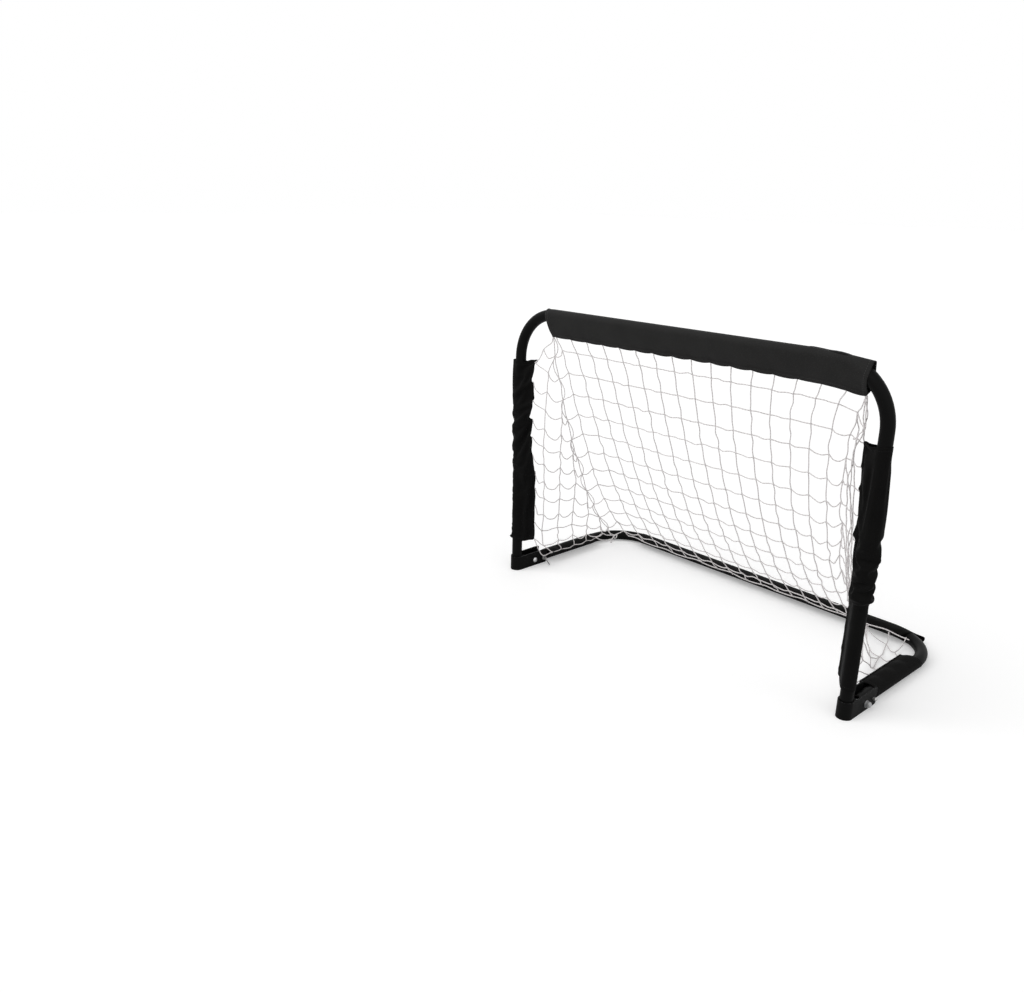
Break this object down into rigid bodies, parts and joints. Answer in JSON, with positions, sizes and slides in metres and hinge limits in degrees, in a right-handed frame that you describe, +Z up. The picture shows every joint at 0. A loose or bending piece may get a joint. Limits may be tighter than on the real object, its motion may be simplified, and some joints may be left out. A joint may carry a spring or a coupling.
{
  "type": "goal net",
  "caption": "Fold-up mini goal: bent-tube front frame, folding U-shaped floor frame, foot brackets with pull-out lock pins, sewn sleeves and a knotted net.",
  "frame": {"origin": "on the floor, under the middle of the whole goal", "axes": "+X along the crossbar, -Y out of the goal's mouth, +Z up"},
  "size_m": [0.8006, 0.3488, 0.5565],
  "materials": {
    "black_steel": "satin black enamel on steel tube",
    "black_sheet": "satin black enamel on bent sheet steel",
    "zinc": "bright zinc plate",
    "pin_steel": "bright zinc plate, turned",
    "ring_steel": "spring wire, dull",
    "black_plastic": "moulded polyethylene",
    "sleeve_cloth": "plain-woven coated polyester",
    "net_cord": "braided polyethylene cord"
  },
  "bodies": {
    "front": {"front_frame": "black_steel", "left_bracket": "black_sheet", "right_bracket": "black_sheet", "left_pivot_bolt": "zinc", "right_pivot_bolt": "zinc", "left_bolt_washer": "zinc", "right_bolt_washer": "zinc", "left_pivot_nut": "zinc", "right_pivot_nut": "zinc", "left_post_plug": "black_plastic", "right_post_plug": "black_plastic", "crossbar_sleeve": "sleeve_cloth", "left_post_sleeve": "sleeve_cloth", "right_post_sleeve": "sleeve_cloth", "back_net": "net_cord", "left_side_net": "net_cord", "right_side_net": "net_cord", "left_seam_cord": "net_cord", "right_seam_cord": "net_cord"},
    "base": {"base_frame": "black_steel", "rear_sleeve": "sleeve_cloth", "left_side_sleeve": "sleeve_cloth", "right_side_sleeve": "sleeve_cloth", "rear_lacing_cord": "net_cord"},
    "left_pin": {"left_lock_pin": "pin_steel"},
    "right_pin": {"right_lock_pin": "pin_steel"},
    "left_ring": {"left_pull_ring": "ring_steel"},
    "right_ring": {"right_pull_ring": "ring_steel"}
  },
  "joints": [
    {"name": "base_fold", "type": "hinge", "parent": "front", "child": "base", "pos_m": [0, -0.1196, 0.012], "axis": [1, 0, 0], "range_deg": [0, 90], "deforming": ["back_net", "left_side_net", "right_side_net", "left_seam_cord", "right_seam_cord"]},
    {"name": "left_pin_pull", "type": "slide", "parent": "front", "child": "left_pin", "axis": [1, 0, 0], "range_m": [0, 0.04]},
    {"name": "right_pin_pull", "type": "slide", "parent": "front", "child": "right_pin", "axis": [-1, 0, 0], "range_m": [0, 0.04]},
    {"name": "left_ring_swing", "type": "hinge", "parent": "left_pin", "child": "left_ring", "pos_m": [-0.3611, -0.0956, 0.012], "axis": [0, 0.6157, -0.788], "range_deg": [-90, 0]},
    {"name": "right_ring_swing", "type": "hinge", "parent": "right_pin", "child": "right_ring", "pos_m": [0.3611, -0.0956, 0.012], "axis": [0, -0.6157, 0.788], "range_deg": [-90, 0]}
  ]
}
